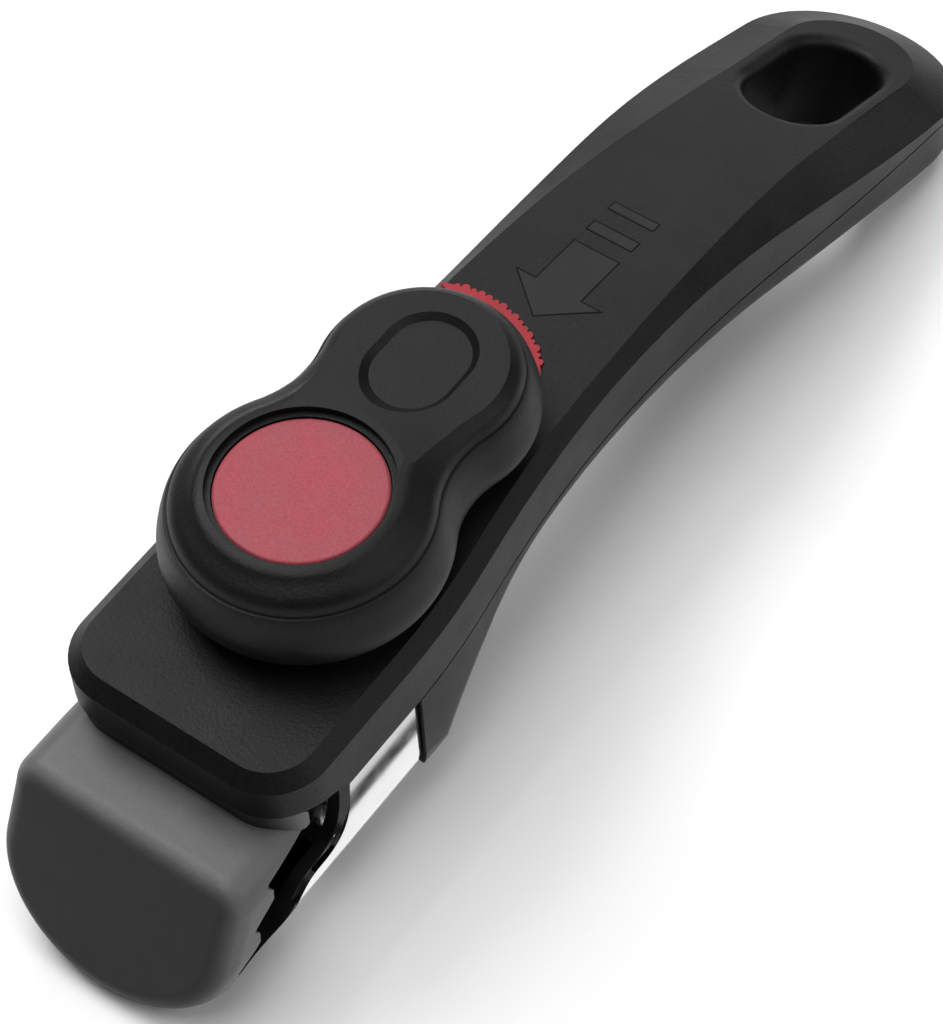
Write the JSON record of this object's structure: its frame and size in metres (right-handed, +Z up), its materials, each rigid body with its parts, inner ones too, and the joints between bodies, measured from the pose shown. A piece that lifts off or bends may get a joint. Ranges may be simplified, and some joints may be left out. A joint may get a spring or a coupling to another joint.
{
  "type": "manual can opener",
  "caption": "Hand-held can opener: arched handle with hanging slot, pear-shaped turning knob with push button, toothed front jaw, drive wheel and cutter underneath.",
  "frame": {"origin": "centre of the opener's footprint, on the surface that it lies on", "axes": "+X from the jaw towards the handle's tail, +Y across the handle, +Z up along the knob's axis"},
  "size_m": [0.2297, 0.0458, 0.064],
  "materials": {
    "black_knob": "fine-grained matte black moulding, slightly smoother",
    "black_liner": "plain black moulding",
    "black_shell": "fine-grained matte black moulding",
    "bright_steel": "mirror-polished",
    "bush_brass": "machined brass",
    "grey_jaw": "smooth mid-grey moulding",
    "pin_steel": "turned, fine lathe lines",
    "plate_steel": "stamped sheet, brushed",
    "red_button": "matte red moulding, finely mottled",
    "red_plastic": "matte red moulding",
    "screw_steel": "zinc-plated screw",
    "spring_steel": "drawn spring wire and strip",
    "wheel_steel": "hardened and ground",
    "white_washer": "natural nylon"
  },
  "bodies": {
    "housing": {"top_shell": "black_shell", "lower_shell": "black_shell", "handle_screws": "screw_steel", "start_marker": "red_plastic", "head_body": "bright_steel", "rear_jaw": "black_liner", "jaw_pin": "pin_steel", "jaw_spring": "spring_steel", "frame_plate": "plate_steel", "base_plate": "plate_steel", "frame_posts": "pin_steel", "frame_screws": "screw_steel", "upper_bush": "bush_brass", "lower_bush": "bush_brass", "thrust_washer": "white_washer", "arm_pin": "pin_steel", "arm_spring": "spring_steel"},
    "knob": {"knob_cover": "black_knob", "knob_base": "black_liner", "knob_screws": "screw_steel", "hub_screw": "screw_steel", "drive_shaft": "pin_steel", "drive_wheel": "wheel_steel", "wheel_clip": "spring_steel", "drag_washer": "spring_steel", "button_spring": "spring_steel"},
    "button": {"push_button": "red_button", "push_collar": "black_liner"},
    "jaw": {"front_jaw": "grey_jaw", "jaw_lever": "plate_steel", "lever_rivets": "screw_steel"},
    "cutter_carrier": {"cutter_arm": "plate_steel", "cutter_axle": "pin_steel"},
    "cutter": {"cutter_wheel": "wheel_steel"}
  },
  "joints": [
    {"name": "knob_turn", "type": "hinge", "parent": "housing", "child": "knob", "pos_m": [-0.0555, 0, 0.048], "axis": [0, 0, 1], "continuous": true},
    {"name": "button_press", "type": "slide", "parent": "knob", "child": "button", "axis": [0, 0, -1], "range_m": [0, 0.0035], "stiffness_N_per_m": 400, "springref_m": -0.001, "deforming": ["button_spring"]},
    {"name": "jaw_open", "type": "hinge", "parent": "housing", "child": "jaw", "pos_m": [-0.0868, 0, 0.0355], "axis": [0, 1, 0], "range_deg": [0, 6.4]},
    {"name": "cutter_swing", "type": "hinge", "parent": "housing", "child": "cutter_carrier", "pos_m": [-0.07095, 0.0125, 0.013], "axis": [0, 0, 1], "range_deg": [0, 11.4]},
    {"name": "cutter_spin", "type": "hinge", "parent": "cutter_carrier", "child": "cutter", "pos_m": [-0.0722, 0, 0.0082], "axis": [0, 0, 1], "continuous": true}
  ],
  "couplings": [
    {"joint": "jaw_open", "follows": "button_press", "rad_per_m": 31.9}
  ]
}
